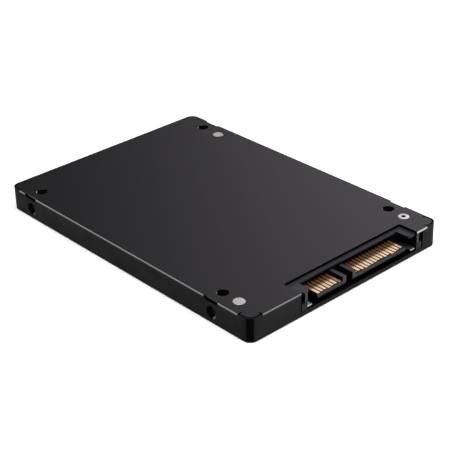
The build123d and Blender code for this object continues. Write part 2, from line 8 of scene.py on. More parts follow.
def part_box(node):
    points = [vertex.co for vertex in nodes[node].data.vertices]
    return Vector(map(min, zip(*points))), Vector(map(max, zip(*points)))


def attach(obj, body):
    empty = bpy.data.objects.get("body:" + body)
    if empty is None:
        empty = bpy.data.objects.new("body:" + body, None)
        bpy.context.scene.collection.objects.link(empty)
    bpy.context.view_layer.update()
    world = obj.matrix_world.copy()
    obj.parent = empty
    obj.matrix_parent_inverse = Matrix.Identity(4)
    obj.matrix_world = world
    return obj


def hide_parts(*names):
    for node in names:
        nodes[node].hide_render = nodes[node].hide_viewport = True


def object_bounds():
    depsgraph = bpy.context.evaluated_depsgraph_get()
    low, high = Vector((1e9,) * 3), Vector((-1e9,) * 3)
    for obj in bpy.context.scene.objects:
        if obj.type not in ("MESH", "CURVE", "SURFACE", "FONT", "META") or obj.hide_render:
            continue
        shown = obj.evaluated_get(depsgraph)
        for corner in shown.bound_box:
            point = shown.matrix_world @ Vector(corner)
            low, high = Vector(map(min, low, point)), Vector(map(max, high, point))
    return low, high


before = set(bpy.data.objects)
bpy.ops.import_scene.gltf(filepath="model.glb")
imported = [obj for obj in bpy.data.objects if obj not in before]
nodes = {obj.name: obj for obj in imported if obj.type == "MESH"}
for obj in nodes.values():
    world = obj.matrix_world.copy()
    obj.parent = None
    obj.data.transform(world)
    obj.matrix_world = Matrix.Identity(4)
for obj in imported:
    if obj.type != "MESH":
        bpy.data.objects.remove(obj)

MM = 0.001
cad_low, cad_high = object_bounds()
scene = bpy.context.scene


# ------------------------------------------------------------------ material building blocks
class Shade:
    """One procedural material: a principled shader plus the nodes that drive it."""

    def __init__(self, name, base, rough, metal=0.0, specular=0.5):
        self.material = bpy.data.materials.new(name)
        self.material.use_nodes = True
        self.tree = self.material.node_tree
        self.tree.nodes.clear()
        out = self.tree.nodes.new("ShaderNodeOutputMaterial")
        self.bsdf = self.tree.nodes.new("ShaderNodeBsdfPrincipled")
        self.link(self.bsdf.outputs["BSDF"], out.inputs["Surface"])
        self.coords = self.tree.nodes.new("ShaderNodeTexCoord")
        self.bsdf.inputs["Base Color"].default_value = (*base, 1.0)
        self.bsdf.inputs["Roughness"].default_value = rough
        self.bsdf.inputs["Metallic"].default_value = metal
        self.bsdf.inputs["Specular IOR Level"].default_value = specular
        self.material.diffuse_color = (*base, 1.0)

    def link(self, source, target):
        self.tree.links.new(source, target)

    def feed(self, socket, source):
        self.link(source, self.bsdf.inputs[socket])

    def place(self, scale):
        """Object coordinates stretched by scale, which is a number or one number per axis."""
        mapping = self.tree.nodes.new("ShaderNodeMapping")
        size = (scale,) * 3 if isinstance(scale, (int, float)) else scale
        mapping.inputs["Scale"].default_value = size
        self.link(self.coords.outputs["Object"], mapping.inputs["Vector"])
        return mapping.outputs["Vector"]

    def noise(self, scale, detail=3.0, distortion=0.0):
        tex = self.tree.nodes.new("ShaderNodeTexNoise")
        tex.inputs["Scale"].default_value = 1.0
        tex.inputs["Detail"].default_value = detail
        tex.inputs["Roughness"].default_value = 0.55
        tex.inputs["Distortion"].default_value = distortion
        self.link(self.place(scale), tex.inputs["Vector"])
        return tex.outputs["Fac"]

    def cells(self, scale, randomness=1.0):
        """Distance to the nearest of many scattered points."""
        tex = self.tree.nodes.new("ShaderNodeTexVoronoi")
        tex.inputs["Scale"].default_value = 1.0
        tex.inputs["Randomness"].default_value = randomness
        self.link(self.place(scale), tex.inputs["Vector"])
        return tex.outputs["Distance"]

    def bands(self, scale, direction):
        """Straight, evenly spaced waves that change along one axis."""
        tex = self.tree.nodes.new("ShaderNodeTexWave")
        tex.wave_type = "BANDS"
        tex.bands_direction = direction
        tex.inputs["Scale"].default_value = 1.0
        tex.inputs["Distortion"].default_value = 0.0
        self.link(self.place(scale), tex.inputs["Vector"])
        return tex.outputs["Fac"]

    def spread(self, source, low, high, out_low=0.0, out_high=1.0):
        """Maps low..high of source onto out_low..out_high, clamped."""
        remap = self.tree.nodes.new("ShaderNodeMapRange")
        remap.inputs["From Min"].default_value = low
        remap.inputs["From Max"].default_value = high
        remap.inputs["To Min"].default_value = out_low
        remap.inputs["To Max"].default_value = out_high
        self.link(source, remap.inputs["Value"])
        return remap.outputs["Result"]

    def even(self, noise, out_low=0.0, out_high=1.0):
        """Stretches the range where most of a noise lies over out_low..out_high."""
        return self.spread(noise, 0.3, 0.7, out_low, out_high)

    def mix(self, factor, first, second):
        """Colour mix by a socket; first and second are colours or sockets."""
        blend = self.tree.nodes.new("ShaderNodeMix")
        blend.data_type = "RGBA"
        for name, value in (("A", first), ("B", second)):
            socket = [s for s in blend.inputs if s.name == name and s.type == "RGBA"][0]
            if isinstance(value, tuple):
                socket.default_value = (*value, 1.0)
            else:
                self.link(value, socket)
        target = [s for s in blend.inputs if s.name == "Factor" and s.type == "VALUE"][0]
        self.link(factor, target)
        return [s for s in blend.outputs if s.type == "RGBA"][0]

    def maths(self, operation, first, second=0.0):
        """A sum on one or two values, which are numbers or sockets."""
        step = self.tree.nodes.new("ShaderNodeMath")
        step.operation = operation
        for index, value in enumerate((first, second)):
            if isinstance(value, (int, float)):
                step.inputs[index].default_value = value
            else:
                self.link(value, step.inputs[index])
        return step.outputs["Value"]

    def axis(self, output, index):
        """One component of the object coordinates or of the object normal."""
        split = self.tree.nodes.new("ShaderNodeSeparateXYZ")
        self.link(self.coords.outputs[output], split.inputs["Vector"])
        return split.outputs[index]

    def size_of(self, output, index):
        """The same without its sign."""
        return self.maths("ABSOLUTE", self.axis(output, index))

    def within(self, low, high, index, soft=0.03):
        """1 where one object coordinate lies between low and high, all in mm."""
        position = self.axis("Object", index)
        above = self.spread(position, (low - soft) * MM, low * MM)
        below = self.spread(position, high * MM, (high + soft) * MM, 1.0, 0.0)
        return self.maths("MULTIPLY", above, below)

    def box_mask(self, low, high):
        """1 inside the block between two corners in mm."""
        mask = self.within(low[0], high[0], 0)
        for index in (1, 2):
            mask = self.maths("MULTIPLY", mask, self.within(low[index], high[index], index))
        return mask

    def darken(self, mask, colour):
        """Puts colour over the base colour where mask is 1."""
        base = self.bsdf.inputs["Base Color"]
        self.feed("Base Color", self.mix(mask, base.links[0].from_socket, colour))

    def dull(self, mask, specular):
        """Brings the specular level to specular where mask is 1."""
        level = self.bsdf.inputs["Specular IOR Level"].default_value
        self.feed("Specular IOR Level", self.spread(mask, 0.0, 1.0, level, specular))

    def bump(self, source, strength, depth_mm):
        """Bump on top of any bump added before it."""
        step = self.tree.nodes.new("ShaderNodeBump")
        step.inputs["Strength"].default_value = strength
        step.inputs["Distance"].default_value = depth_mm * MM
        self.link(source, step.inputs["Height"])
        normal = self.bsdf.inputs["Normal"]
        if normal.is_linked:
            self.link(normal.links[0].from_socket, step.inputs["Normal"])
        self.feed("Normal", step.outputs["Normal"])


def tint(colour, factor):
    return tuple(min(1.0, c * factor) for c in colour)


def mottled(name, base, rough, specular=0.5, grain=0.1, vary=0.2, bump=0.1, depth=0.003):
    """A surface with cloudy colour, uneven roughness and a fine grain.

    vary is the share by which the colour clouds; grain and depth are the fine grain's size and
    height in mm.
    """
    shade = Shade(name, base, rough, 0.0, specular)
    cloud = shade.even(shade.noise(120.0))
    fine = shade.noise(1.0 / (grain * MM), 2.0)
    colour = shade.mix(cloud, tint(base, 1.0 - vary), tint(base, 1.0 + vary))
    speckle = shade.spread(fine, 0.35, 0.65, 0.0, 0.5)
    shade.feed("Base Color", shade.mix(speckle, colour, tint(base, 0.85)))
    shade.feed("Roughness", shade.even(shade.noise(260.0, 4.0), rough * 0.88, rough * 1.12))
    shade.bump(fine, bump, depth)
    return shade


# ------------------------------------------------------------------ places on the drive, in mm
OUTER_X = cad_high.x / MM
OUTER_Y = cad_high.y / MM
SIDE_STATIONS = [cad_low.y / MM + 14.0, cad_low.y / MM + 90.6]
MOUNT_X = 30.86

# The cover's cut-out over the plug, the part of its outline that counts as an outer edge, and
# the height above which the burr on the shaded outer edges is painted as catching the light;
# below it those edges are painted darker still, as shade.
CUTOUT_RIGHT = 26.0
CUTOUT_BACK = -43.7
EDGE_SKIN = 0.12
BURR_Z = 6.78

# The case seen from inside: everything within a thin skin of the outline, and the space behind
# the plug. A tapped hole reaches HOLE_REACH round its axis.
WALL_SKIN = 0.2
# Inside this box the case is painted dark as shade.
CASE_INSIDE = (
    (-OUTER_X + WALL_SKIN, -OUTER_Y + WALL_SKIN, 0.5),
    (OUTER_X - WALL_SKIN, OUTER_Y - WALL_SKIN, 6.95),
)
CAVITY = ((-33.6, -42.0, 0.85), (33.6, 48.8, 6.35))
HOLE_REACH = 1.7

# Where a highlight is painted on the lower front of each countersink in the left wall, relative
# to the wall and the station.
FACET_LOW = (0.05, -1.75, 1.4)
FACET_HIGH = (0.6, -0.5, 2.7)

# The plug's hollow front, painted in shade apart from the keys in it, and the height below
# which its front is painted in shade.
PLUG_HOLLOW = ((-16.9, -49.75, 0.5), (28.3, -43.0, 5.6))
PLUG_KEYS = ((-2.6, -50.2, 4.25), (2.7, -45.3, 5.6))
PLUG_SHADE_TOP = 3.7
PLUG_SHADE_FULL = 3.5

# The contacts are painted a shaded brown from here towards the rear, where they lie in shade
# under the housing.
GOLD_SHADE_SPAN = (-47.5, -46.5)

# The label's printed border runs outside this half width and half length.
LABEL_FIELD = (31.1, 46.1)
BORDER_SOFT = 0.1

# ------------------------------------------------------------------ materials
PLATE_BASE = (0.003, 0.0026, 0.0031)
PLATE_ROUGH = 0.38
CUT_ROUGH = 0.4
# Outer cut edges: bare metal, painted as lit right of the cut-out, painted in shade elsewhere.
LIT_BARE_METAL = (0.46, 0.46, 0.47)
EDGE_SHADE_METAL = (0.27, 0.27, 0.275)
# Bare metal inside the round holes, painted dark as shade.
HOLE_SHADED_METAL = (0.03, 0.03, 0.032)
# A painted glint on the side of the holes that faces the bright part of the room.
PAINTED_GLINT = (0.75, 0.75, 0.76)
# Painted shade on the edges of the cut-out.
CUTOUT_SHADE = (0.002, 0.002, 0.002)


def bare_edges(shade):
    """Sheared sheet: coated faces, bare metal on the outer cut edges.

    The bar to the right of the cut-out is painted as lit; the other outer edges are painted in
    shade, darkest on their lower part. The cut-out edges are painted black as shade, the round
    holes are painted dark inside as shade, and their left inside has a painted glint.
    """
    upright = shade.spread(shade.size_of("Normal", 2), 0.35, 0.2)
    side_x = shade.spread(shade.size_of("Object", 0), (OUTER_X - EDGE_SKIN) * MM, OUTER_X * MM)
    side_y = shade.spread(shade.size_of("Object", 1), (OUTER_Y - EDGE_SKIN) * MM, OUTER_Y * MM)
    outer = shade.spread(shade.maths("MAXIMUM", side_x, side_y), 0.5, 0.6)
    edge = shade.maths("MULTIPLY", upright, outer)
    inner = shade.maths("MULTIPLY", upright, shade.maths("SUBTRACT", 1.0, outer))
    behind = shade.spread(shade.axis("Object", 1), CUTOUT_BACK * MM, (CUTOUT_BACK + 0.1) * MM)
    holes = shade.maths("MULTIPLY", inner, behind)
    # Painted glint: the holes' insides turned to the right get a pale, non-metal colour.
    glint = shade.maths("MULTIPLY", holes, shade.spread(shade.axis("Normal", 0), 0.3, 0.5))

    streak = shade.even(shade.noise((900.0, 900.0, 9000.0), 2.0))
    # Painted light: the bar right of the cut-out lit, the other outer edges shaded, darkest low
    # down.
    bright = shade.mix(streak, tint(LIT_BARE_METAL, 0.8), tint(LIT_BARE_METAL, 1.12))
    burr = shade.spread(shade.axis("Object", 2), (BURR_Z - 0.05) * MM, BURR_Z * MM)
    worn = shade.mix(burr, tint(EDGE_SHADE_METAL, 0.2), EDGE_SHADE_METAL)
    metal = shade.mix(shade.within(CUTOUT_RIGHT, OUTER_X - 1.0, 0), worn, bright)

    coat_and_shade = shade.bsdf.inputs["Base Color"].links[0].from_socket
    # The edges of the cut-out are painted black as shade.
    coat_and_shade = shade.mix(inner, coat_and_shade, CUTOUT_SHADE)
    # The insides of the holes are painted dark as shade, with a painted glint on their left side.
    coat_and_shade = shade.mix(glint, shade.mix(holes, coat_and_shade, HOLE_SHADED_METAL), PAINTED_GLINT)
    shade.feed("Base Color", shade.mix(edge, coat_and_shade, metal))
    bare = shade.maths("MAXIMUM", edge, holes)
    shade.feed("Metallic", shade.maths("SUBTRACT", bare, glint))
    shade.feed("Roughness", shade.spread(edge, 0.0, 1.0, PLATE_ROUGH, CUT_ROUGH))
    # The inner edges lose their specular, part of their painted shade.
    shade.dull(inner, 0.0)


def make_plate():
    shade = mottled(
        "satin_plate", PLATE_BASE, PLATE_ROUGH, 0.33, grain=0.16, vary=0.08, depth=0.006
    )
    shade.bump(shade.noise(1400.0, 2.0), 0.08, 0.01)
    bare_edges(shade)
    return shade.material


CASE_BASE = (0.0042, 0.004, 0.0048)
CASE_INSIDE_SHADE = (0.0022, 0.0022, 0.0026)
CAVITY_GREY = (0.03, 0.03, 0.032)
FACET_HIGHLIGHT = (0.11, 0.11, 0.115)
CASE_SPECULAR = 0.05
FRONT_SHEEN = 0.09


def make_case():
    shade = mottled(
        "cast_case", CASE_BASE, 0.55, CASE_SPECULAR, grain=0.3, vary=0.12, bump=0.22, depth=0.012
    )
    pits = shade.spread(shade.cells(900.0), 0.0, 0.25)
    shade.bump(pits, 0.08, 0.006)
    # The case's inside is painted dark as shade and, outside the cavity, loses its specular.
    inside = shade.box_mask(*CASE_INSIDE)
    shade.darken(inside, CASE_INSIDE_SHADE)

    # The cavity behind the plug is painted a paler grey over that shade; the tapped holes in its
    # bosses stay in the painted shade.
    cavity = shade.box_mask(*CAVITY)
    for station in SIDE_STATIONS:
        for hole_x in (-MOUNT_X, MOUNT_X):
            low = (hole_x - HOLE_REACH, station - HOLE_REACH, 0.0)
            high = (hole_x + HOLE_REACH, station + HOLE_REACH, 7.0)
            cavity = shade.maths("SUBTRACT", cavity, shade.box_mask(low, high))
    cavity = shade.spread(cavity, 0.0, 1.0)
    shade.darken(cavity, CAVITY_GREY)

    # A painted highlight on the lower front of each countersink in the left wall.
    lit_facets = []
    for station in SIDE_STATIONS:
        low = (-OUTER_X + FACET_LOW[0], station + FACET_LOW[1], FACET_LOW[2])
        high = (-OUTER_X + FACET_HIGH[0], station + FACET_HIGH[1], FACET_HIGH[2])
        lit_facets.append(shade.box_mask(low, high))
    shade.darken(shade.maths("MAXIMUM", *lit_facets), FACET_HIGHLIGHT)

    # Painted sheen: faces turned to the front get a higher specular level than the rest.
    front = shade.spread(shade.axis("Normal", 1), -0.6, -0.9, CASE_SPECULAR, FRONT_SHEEN)
    unshaded = shade.maths("MAXIMUM", shade.maths("SUBTRACT", 1.0, inside), cavity)
    shade.feed("Specular IOR Level", shade.maths("MULTIPLY", front, unshaded))
    return shade.material


PLUG_BASE = (0.014, 0.0142, 0.0175)
PLUG_PAINTED_SHADE = (0.0022, 0.002, 0.0024)


def make_plug():
    shade = mottled(
        "plug_polymer", PLUG_BASE, 0.46, 0.3, grain=0.12, vary=0.12, bump=0.12, depth=0.004
    )
    flow = shade.noise((200.0, 1600.0, 1600.0), 3.0, distortion=0.6)
    shade.bump(flow, 0.08, 0.004)
    # The hollow, the faces turned to the left and the low front are painted dark as shade.
    hollow = shade.box_mask(*PLUG_HOLLOW)
    not_keys = shade.maths("SUBTRACT", 1.0, shade.box_mask(*PLUG_KEYS))
    left_faces = shade.spread(shade.axis("Normal", 0), -0.4, -0.7)
    height = shade.axis("Object", 2)
    low_front = shade.spread(height, PLUG_SHADE_TOP * MM, PLUG_SHADE_FULL * MM, 0.0, 0.65)
    shaded = shade.maths("MULTIPLY", hollow, not_keys)
    shaded = shade.maths("MAXIMUM", shaded, left_faces)
    shaded = shade.maths("MAXIMUM", shaded, low_front)
    shade.darken(shaded, PLUG_PAINTED_SHADE)
    shade.dull(shaded, 0.03)
    return shade.material


GOLD_BASE = (0.8, 0.6, 0.38)
GOLD_PALE = (0.86, 0.66, 0.45)
GOLD_DEEP = (0.74, 0.5, 0.29)
SHADED_GOLD_BROWN = (0.4, 0.18, 0.07)
GOLD_FLANK_SHADE = (0.06, 0.028, 0.014)


def make_gold():
    shade = Shade("gold_contacts", GOLD_BASE, 0.2, metal=0.8)
    wear = shade.noise((9000.0, 260.0, 9000.0))
    tone = shade.mix(shade.even(wear), GOLD_PALE, GOLD_DEEP)
    # Painted shade: the contacts turn a shaded brown towards the rear.
    rear = shade.spread(shade.axis("Object", 1), GOLD_SHADE_SPAN[0] * MM, GOLD_SHADE_SPAN[1] * MM)
    tone = shade.mix(rear, tone, SHADED_GOLD_BROWN)
    # The contacts' side faces are painted dark as shade.
    shaded_flank = shade.spread(shade.size_of("Normal", 2), 0.7, 0.4)
    shade.feed("Base Color", shade.mix(shaded_flank, tone, GOLD_FLANK_SHADE))
    shade.feed("Roughness", shade.even(wear, 0.18, 0.3))
    shade.bump(wear, 0.1, 0.003)
    return shade.material


def make_metal(name, base, rough, grain=(2600.0, 2600.0, 2600.0), tarnish=0.18):
    """Plated metal with fine lines; grain is the lines' density per axis, tarnish the darkening."""
    shade = Shade(name, base, rough, metal=1.0)
    lines = shade.noise(grain)
    cloud = shade.spread(shade.noise(500.0, 4.0), 0.35, 0.7)
    tone = shade.mix(cloud, tint(base, 1.0 - tarnish), tint(base, 1.06))
    scratched = shade.spread(lines, 0.35, 0.65, 0.0, 0.35)
    shade.feed("Base Color", shade.mix(scratched, tone, tint(base, 0.8)))
    shade.feed("Roughness", shade.even(lines, rough * 0.8, rough * 1.25))
    shade.bump(lines, 0.12, 0.004)
    return shade.material


MASK_GREEN = (0.012, 0.085, 0.04)
COPPER_GREEN = (0.03, 0.17, 0.075)
VIA_GREEN = (0.09, 0.2, 0.1)
TRACK_SCALE = 420.0
BLACK = (0.0, 0.0, 0.0)
WHITE = (1.0, 1.0, 1.0)


def make_board():
    """Solder mask over tracks that run along X in some areas and along Y in others, with vias."""
    shade = Shade("solder_mask", MASK_GREEN, 0.32)
    areas = shade.mix(shade.spread(shade.noise(90.0, 1.0), 0.42, 0.58), BLACK, WHITE)
    lines_x = shade.spread(shade.bands(TRACK_SCALE, "X"), 0.62, 0.72)
    lines_y = shade.spread(shade.bands(TRACK_SCALE, "Y"), 0.62, 0.72)
    tracks = shade.maths(
        "ADD",
        shade.maths("MULTIPLY", lines_x, areas),
        shade.maths("MULTIPLY", lines_y, shade.maths("SUBTRACT", 1.0, areas)),
    )
    pour = shade.spread(shade.noise(160.0, 0.0), 0.5, 0.52)
    copper = shade.maths("MULTIPLY", tracks, pour)
    vias = shade.spread(shade.cells(TRACK_SCALE, randomness=0.7), 0.16, 0.12)
    lit = shade.mix(copper, MASK_GREEN, COPPER_GREEN)
    shade.feed("Base Color", shade.mix(vias, lit, VIA_GREEN))
    shade.feed("Roughness", shade.even(shade.noise(700.0), 0.26, 0.4))
    shade.bump(copper, 0.3, 0.02)
    return shade.material


def make_pad():
    base = (0.36, 0.42, 0.5)
    shade = mottled(
        "heat_pad_silicone", base, 0.75, 0.25, grain=0.18, vary=0.1, bump=0.4, depth=0.02
    )
    shade.bump(shade.cells(2400.0), 0.2, 0.01)
    shade.bsdf.inputs["Subsurface Weight"].default_value = 0.05
    return shade.material


def make_label():
    """Blank paper-like film with a plain printed border."""
    base = (0.8, 0.81, 0.82)
    shade = Shade("label_film", base, 0.5, specular=0.35)
    fibre = shade.noise((1500.0, 5200.0, 1500.0))
    paper = shade.mix(shade.even(fibre), tint(base, 0.96), tint(base, 1.03))
    inside = [
        shade.spread(shade.size_of("Object", index), (half + BORDER_SOFT) * MM, half * MM)
        for index, half in enumerate(LABEL_FIELD)
    ]
    shade.feed("Base Color", shade.mix(shade.maths("MULTIPLY", *inside), (0.16, 0.18, 0.21), paper))
    shade.feed("Roughness", shade.even(fibre, 0.42, 0.58))
    shade.bump(fibre, 0.1, 0.006)
    return shade.material


PLATE = make_plate()
CASE = make_case()
PLUG = make_plug()
GOLD = make_gold()
PAD = make_pad()
LABEL = make_label()
BOARD = make_board()
SCREW = make_metal("screw_nickel", (0.76, 0.74, 0.73), 0.34)
SEAL = make_metal("seal_foil", (0.66, 0.64, 0.61), 0.45, (1800.0, 1800.0, 1800.0), 0.1)
TAB = make_metal("tin_plate", (0.74, 0.74, 0.76), 0.34)
TIN = make_metal("tinned_ends", (0.7, 0.7, 0.7), 0.36)
LID = make_metal("crystal_lid", (0.66, 0.63, 0.56), 0.3, (600.0, 6000.0, 600.0))
CHIP = mottled(
    "epoxy_moulding", (0.018, 0.018, 0.02), 0.5, 0.4, vary=0.15, bump=0.25, depth=0.006
).material
# The screw sockets are painted near black as shade.
SOCKET = mottled(
    "screw_socket_shade", (0.006, 0.005, 0.0055), 0.7, 0.1, bump=0.2, depth=0.004
).material
FERRITE = mottled(
    "pressed_powder", (0.09, 0.09, 0.098), 0.62, grain=0.12, vary=0.25, bump=0.4, depth=0.012
).material
TANTALUM = mottled(
    "tantalum_case", (0.022, 0.02, 0.018), 0.42, vary=0.15, bump=0.15, depth=0.005
).material
CERAMIC = mottled(
    "fired_ceramic", (0.27, 0.17, 0.1), 0.55, grain=0.08, bump=0.2, depth=0.004
).material
FILM = mottled("resistor_film", (0.03, 0.03, 0.034), 0.35, grain=0.08).material
ALUMINA = mottled("alumina", (0.66, 0.65, 0.62), 0.5, grain=0.08, vary=0.06).material
PRINT = mottled("board_print", (0.72, 0.73, 0.7), 0.6, grain=0.06, vary=0.06).material
STRIPE = mottled("polarity_mark", (0.42, 0.4, 0.36), 0.5, grain=0.06, vary=0.1).material


# ------------------------------------------------------------------ CAD nodes that stay
for material, names in (
    (CASE, ["base_case"]),
    (PLATE, ["cover_plate"]),
    (LABEL, ["label"]),
    (BOARD, ["circuit_board"]),
    (PLUG, ["connector_housing"]),
    (TAB, ["connector_tabs"]),
    (GOLD, ["signal_contacts", "power_contacts"]),
    (SEAL, ["screw_seals"]),
    (PAD, ["flash_heat_pads_upper", "flash_heat_pads_lower", "controller_heat_pad"]),
):
    for node_name in names:
        nodes[node_name].data.materials.clear()
        nodes[node_name].data.materials.append(material)


# ------------------------------------------------------------------ mesh helpers
SMOOTH_ANGLE = 40.0


def islands(name):
    """Low and high corner of each separate solid in a CAD node, in a fixed order."""
    bm = bmesh.new()
    bm.from_mesh(nodes[name].data)
    bmesh.ops.remove_doubles(bm, verts=bm.verts, dist=0.001 * MM)
    boxes = []
    seen = set()
    for start in bm.verts:
        if start in seen:
            continue
        seen.add(start)
        stack = [start]
        low = start.co.copy()
        high = start.co.copy()
        while stack:
            vert = stack.pop()
            low = Vector(map(min, low, vert.co))
            high = Vector(map(max, high, vert.co))
            for edge in vert.link_edges:
                other = edge.other_vert(vert)
                if other not in seen:
                    seen.add(other)
                    stack.append(other)
        boxes.append((low, high))
    bm.free()
    return sorted(boxes, key=lambda b: (round(b[0].y, 5), round(b[0].x, 5)))


def add_block(bm, low, high, bevel=0.0, index=0, segments=2):
    """A block with rounded edges between two corners, all in metres; index is its material."""
    low, high = Vector(low), Vector(high)
    size = high - low
    shape = Matrix.Translation((high + low) / 2) @ Matrix.Diagonal((*size, 1.0))
    verts = bmesh.ops.create_cube(bm, size=1.0, matrix=shape)["verts"]
    edges = list(dict.fromkeys(e for v in verts for e in v.link_edges))
    faces = {f for v in verts for f in v.link_faces}
    if bevel:
        cut = bmesh.ops.bevel(
            bm,
            geom=edges,
            offset=min(bevel, min(size) * 0.45),
            segments=segments,
            profile=0.5,
            affect="EDGES",
        )
        faces = {f for f in faces if f.is_valid} | set(cut["faces"])
    for face in faces:
        if face.is_valid:
            face.material_index = index


def finish_piece(name, bm, materials, body, covers=()):
    """Turns a bmesh into a named piece that rides on a body and may stand for CAD nodes."""
    bmesh.ops.recalc_face_normals(bm, faces=bm.faces)
    mesh = bpy.data.meshes.new(name)
    bm.to_mesh(mesh)
    bm.free()
    for material in materials:
        mesh.materials.append(material)
    mesh.shade_smooth()
    mesh.set_sharp_from_angle(angle=math.radians(SMOOTH_ANGLE))
    obj = bpy.data.objects.new(name, mesh)
    scene.collection.objects.link(obj)
    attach(obj, body)
    if covers:
        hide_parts(*covers)


def circle(bm, x, y, z, radius_of, turns):
    """A ring of vertices whose radius, in metres, depends on the angle."""
    loop = []
    for step in range(turns):
        angle = 2 * math.pi * step / turns
        radius = radius_of(angle)
        loop.append(bm.verts.new((x + radius * math.cos(angle), y + radius * math.sin(angle), z)))
    return loop


def bridge(bm, first, second, index=0):
    """Faces between two rings with the same number of vertices."""
    turns = len(first)
    for step in range(turns):
        after = (step + 1) % turns
        face = bm.faces.new((first[step], first[after], second[after], second[step]))
        face.material_index = index


# ------------------------------------------------------------------ screws, in mm
TURN = 72
THREAD_PITCH = 0.4
THREAD_DEPTH = 0.17
THREAD_FADE_TOP = 0.3
THREAD_FADE_TIP = 0.25
ROWS_PER_PITCH = 10
SOCKET_DEPTH = 0.6
SOCKET_MEAN = 0.6
SOCKET_WAVE = 0.08
SOCKET_ROWS = 3
SHANK_R = 0.95

# Radius and drop below the top, from the socket's rim outwards, and where the shank starts.
COVER_SCREW = [
    (1.2, 0.0), (1.56, 0.0), (1.61, 0.03), (1.62, 0.07), (1.57, 0.12), (1.25, 0.42), (0.96, 0.7)
]
COVER_SCREW_HEAD = 0.73
BOARD_SCREW = [
    (1.1, 0.0), (1.32, 0.02), (1.48, 0.09), (1.57, 0.22), (1.6, 0.4), (1.6, 0.76), (1.56, 0.8),
    (0.96, 0.8),
]
BOARD_SCREW_HEAD = 0.83


def add_screw(bm, low, high, head, head_height):
    """A turned screw with a six lobed socket and a helical thread, filling the box of its solid."""
    x, y = (low.x + high.x) / 2, (low.y + high.y) / 2
    top, bottom = high.z, low.z
    shank_top = top - head_height * MM
    length = (shank_top - bottom) / MM
    loops = []

    def ring(radius_of, z):
        loops.append(circle(bm, x, y, z, lambda a: radius_of(a) * MM, TURN))

    def socket_ring(scale, z):
        ring(lambda a: (SOCKET_MEAN + SOCKET_WAVE * math.cos(6 * a)) * scale, z)

    floor_z = top - SOCKET_DEPTH * MM
    socket_ring(0.6, floor_z)
    socket_ring(0.95, floor_z + 0.02 * MM)
    socket_ring(1.0, top - 0.05 * MM)
    socket_ring(1.08, top)
    for radius, drop in head:
        ring(lambda a, r=radius: r, top - drop * MM)
    for row in range(int(length / THREAD_PITCH * ROWS_PER_PITCH)):
        depth = row * THREAD_PITCH / ROWS_PER_PITCH
        left = length - THREAD_FADE_TIP - depth
        fade = min(1.0, depth / THREAD_FADE_TOP, max(0.0, left / THREAD_FADE_TIP))

        def thread(a, d=depth, f=fade):
            phase = (d / THREAD_PITCH + a / (2 * math.pi)) % 1.0
            groove = 1.0 - abs(2 * phase - 1.0)
            return SHANK_R - THREAD_DEPTH * f * max(0.0, min(1.0, 1.25 * groove - 0.1))

        ring(thread, shank_top - depth * MM)
    ring(lambda a: SHANK_R - 0.2, bottom + 0.05 * MM)
    ring(lambda a: SHANK_R - 0.3, bottom)
    # The socket's walls and floor take the socket's painted shade.
    for row, (above, below) in enumerate(zip(loops, loops[1:])):
        bridge(bm, above, below, 1 if row < SOCKET_ROWS else 0)
    bm.faces.new(loops[0]).material_index = 1
    bm.faces.new(list(reversed(loops[-1])))


def screw_piece(name, cad_name, body, head, head_height):
    bm = bmesh.new()
    for low, high in islands(cad_name):
        add_screw(bm, low, high, head, head_height)
    finish_piece(name, bm, [SCREW, SOCKET], body, [cad_name])


screw_piece("screws_of_cover", "cover_screws", "cover_fixings", COVER_SCREW, COVER_SCREW_HEAD)
screw_piece("screws_of_board", "board_screws", "board_fixings", BOARD_SCREW, BOARD_SCREW_HEAD)


# ------------------------------------------------------------------ chips
SMALL_PACKAGE = 4.0 * MM
SUBSTRATE_T = 0.26 * MM
SUBSTRATE_MARGIN = 0.12 * MM
SMALL_BASE_T = 0.12 * MM
SUBSTRATE_BEVEL = 0.02 * MM
MOULD_BEVEL = 0.07 * MM
DOT_SINK = 0.012 * MM
DOT_DEPTH = 0.03 * MM


def chip_piece(name, cad_name, dot=0.55, above=True):
    """Moulded packages with a body, a thin substrate, and a dimple beside the first corner.

    dot is the dimple's radius in mm; above is false for packages under the board.
    """
    bm = bmesh.new()
    for low, high in islands(cad_name):
        size = high - low
        narrow = min(size.x, size.y)
        small = narrow < SMALL_PACKAGE
        inset = 0.0 if small else SUBSTRATE_MARGIN
        sheet = SMALL_BASE_T if small else SUBSTRATE_T
        body_low = (low.x + inset, low.y + inset)
        body_high = (high.x - inset, high.y - inset)
        if above:
            split = low.z + sheet
            add_block(bm, low, (high.x, high.y, split), SUBSTRATE_BEVEL, 1)
            add_block(bm, (*body_low, split), (*body_high, high.z), MOULD_BEVEL, 0)
            mark_z = high.z - DOT_SINK
        else:
            split = high.z - sheet
            add_block(bm, (low.x, low.y, split), high, SUBSTRATE_BEVEL, 1)
            add_block(bm, (*body_low, low.z), (*body_high, split), MOULD_BEVEL, 0)
            mark_z = low.z + DOT_SINK
        reach = min(dot * 2.2 * MM, narrow * 0.22)
        radius = min(dot * MM, narrow * 0.09)
        place = (low.x + inset + reach, high.y - inset - reach, mark_z)
        disc = bmesh.ops.create_cone(
            bm,
            cap_ends=True,
            segments=28,
            radius1=radius,
            radius2=radius * 0.96,
            depth=DOT_DEPTH,
            matrix=Matrix.Translation(place),
        )
        for face in {f for v in disc["verts"] for f in v.link_faces}:
            face.material_index = 2
    finish_piece(name, bm, [CHIP, BOARD, FILM], "board", [cad_name])


